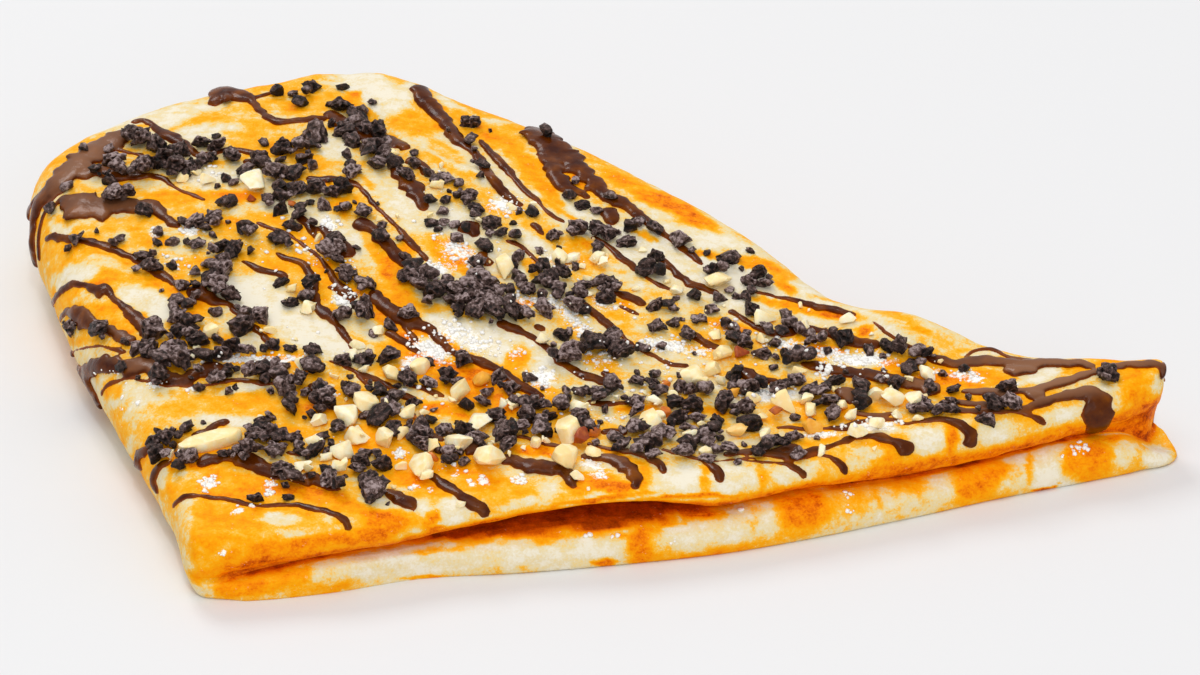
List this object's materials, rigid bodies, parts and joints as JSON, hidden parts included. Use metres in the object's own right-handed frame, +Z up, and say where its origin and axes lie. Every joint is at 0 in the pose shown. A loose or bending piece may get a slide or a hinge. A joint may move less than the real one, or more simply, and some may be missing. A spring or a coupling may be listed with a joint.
{
  "type": "folded crepe",
  "caption": "Thin crepe folded into a flat wedge with an open front fold, topped with chocolate drizzle, cocoa crumbs, chopped nuts and icing sugar.",
  "frame": {"origin": "on the surface the crepe lies on, under the middle of its outline", "axes": "+X towards the narrow tip of the wedge, +Y towards the long back edge and away from the open fold, +Z up"},
  "size_m": [0.1915, 0.1352, 0.0254],
  "materials": {
    "crepe": "thin fried batter, mottled cream and golden brown, with dark chocolate strokes, cocoa crumbs and pale nuts on its upper side"
  },
  "bodies": {
    "root": {"crepe": "crepe"}
  },
  "joints": []
}
